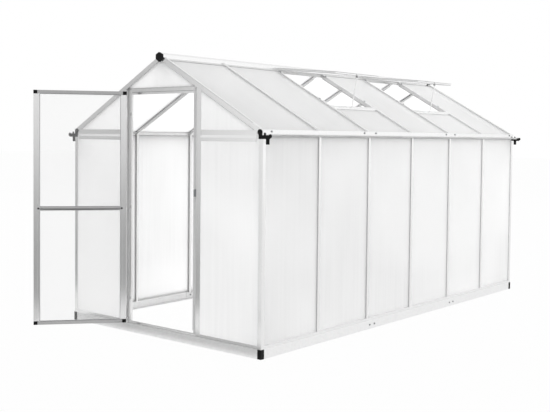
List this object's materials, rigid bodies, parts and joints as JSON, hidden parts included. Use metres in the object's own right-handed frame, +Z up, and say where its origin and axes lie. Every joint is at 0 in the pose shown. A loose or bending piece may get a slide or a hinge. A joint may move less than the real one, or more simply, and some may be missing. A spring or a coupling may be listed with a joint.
{
  "type": "plastic greenhouse",
  "caption": "Long walk-in greenhouse with a ridged roof: aluminium frame, twin-wall plastic sheets, steel base, hinged door standing open and open roof vents.",
  "frame": {"origin": "middle of the base's footprint, on the ground", "axes": "+Z up, +Y along the house away from the door, +X to the right seen from the door end"},
  "size_m": [2.048, 4.254, 2.018],
  "materials": {
    "base_steel": "galvanised, dull",
    "aluminium": "satin anodised",
    "twin_wall": "clear twin-wall sheet, milky",
    "black_plastic": "moulded, fine grain"
  },
  "bodies": {
    "frame": {"base_ends": "base_steel", "base_sides": "base_steel", "base_corner_caps": "black_plastic", "sill_front": "aluminium", "sill_back": "aluminium", "sill_sides": "aluminium", "corner_posts": "aluminium", "side_bars_left": "aluminium", "side_bars_right": "aluminium", "wall_panels_left": "twin_wall", "wall_panels_right": "twin_wall", "eave_left": "aluminium", "eave_right": "aluminium", "gutter_end_caps": "black_plastic", "ridge_beam": "aluminium", "ridge_caps": "black_plastic", "rafters_front": "aluminium", "rafters_back": "aluminium", "roof_bars_left": "aluminium", "roof_bars_right": "aluminium", "roof_panels_left": "twin_wall", "roof_panels_right": "twin_wall", "gable_rails_front": "aluminium", "gable_rails_back": "aluminium", "back_studs": "aluminium", "door_post_left": "aluminium", "door_post_right": "aluminium", "door_header": "aluminium", "door_threshold": "aluminium", "wall_panels_front": "twin_wall", "gable_panels_front": "twin_wall", "wall_panels_back": "twin_wall", "gable_panels_back": "twin_wall", "vent_sills": "aluminium", "vent_frames": "aluminium", "vent_panes": "twin_wall", "vent_stays": "aluminium", "door_hinge_knuckles": "aluminium", "latch_keeper": "aluminium"},
    "door": {"door_stiles": "aluminium", "door_rails": "aluminium", "door_panes": "twin_wall", "door_corner_caps": "black_plastic", "door_hinge_leaves": "aluminium", "door_handle": "black_plastic"}
  },
  "joints": [
    {"name": "door_hinge", "type": "hinge", "parent": "frame", "child": "door", "pos_m": [-0.325, -1.869, 0.9], "axis": [0, 0, 1], "range_deg": [-35, 130]}
  ]
}
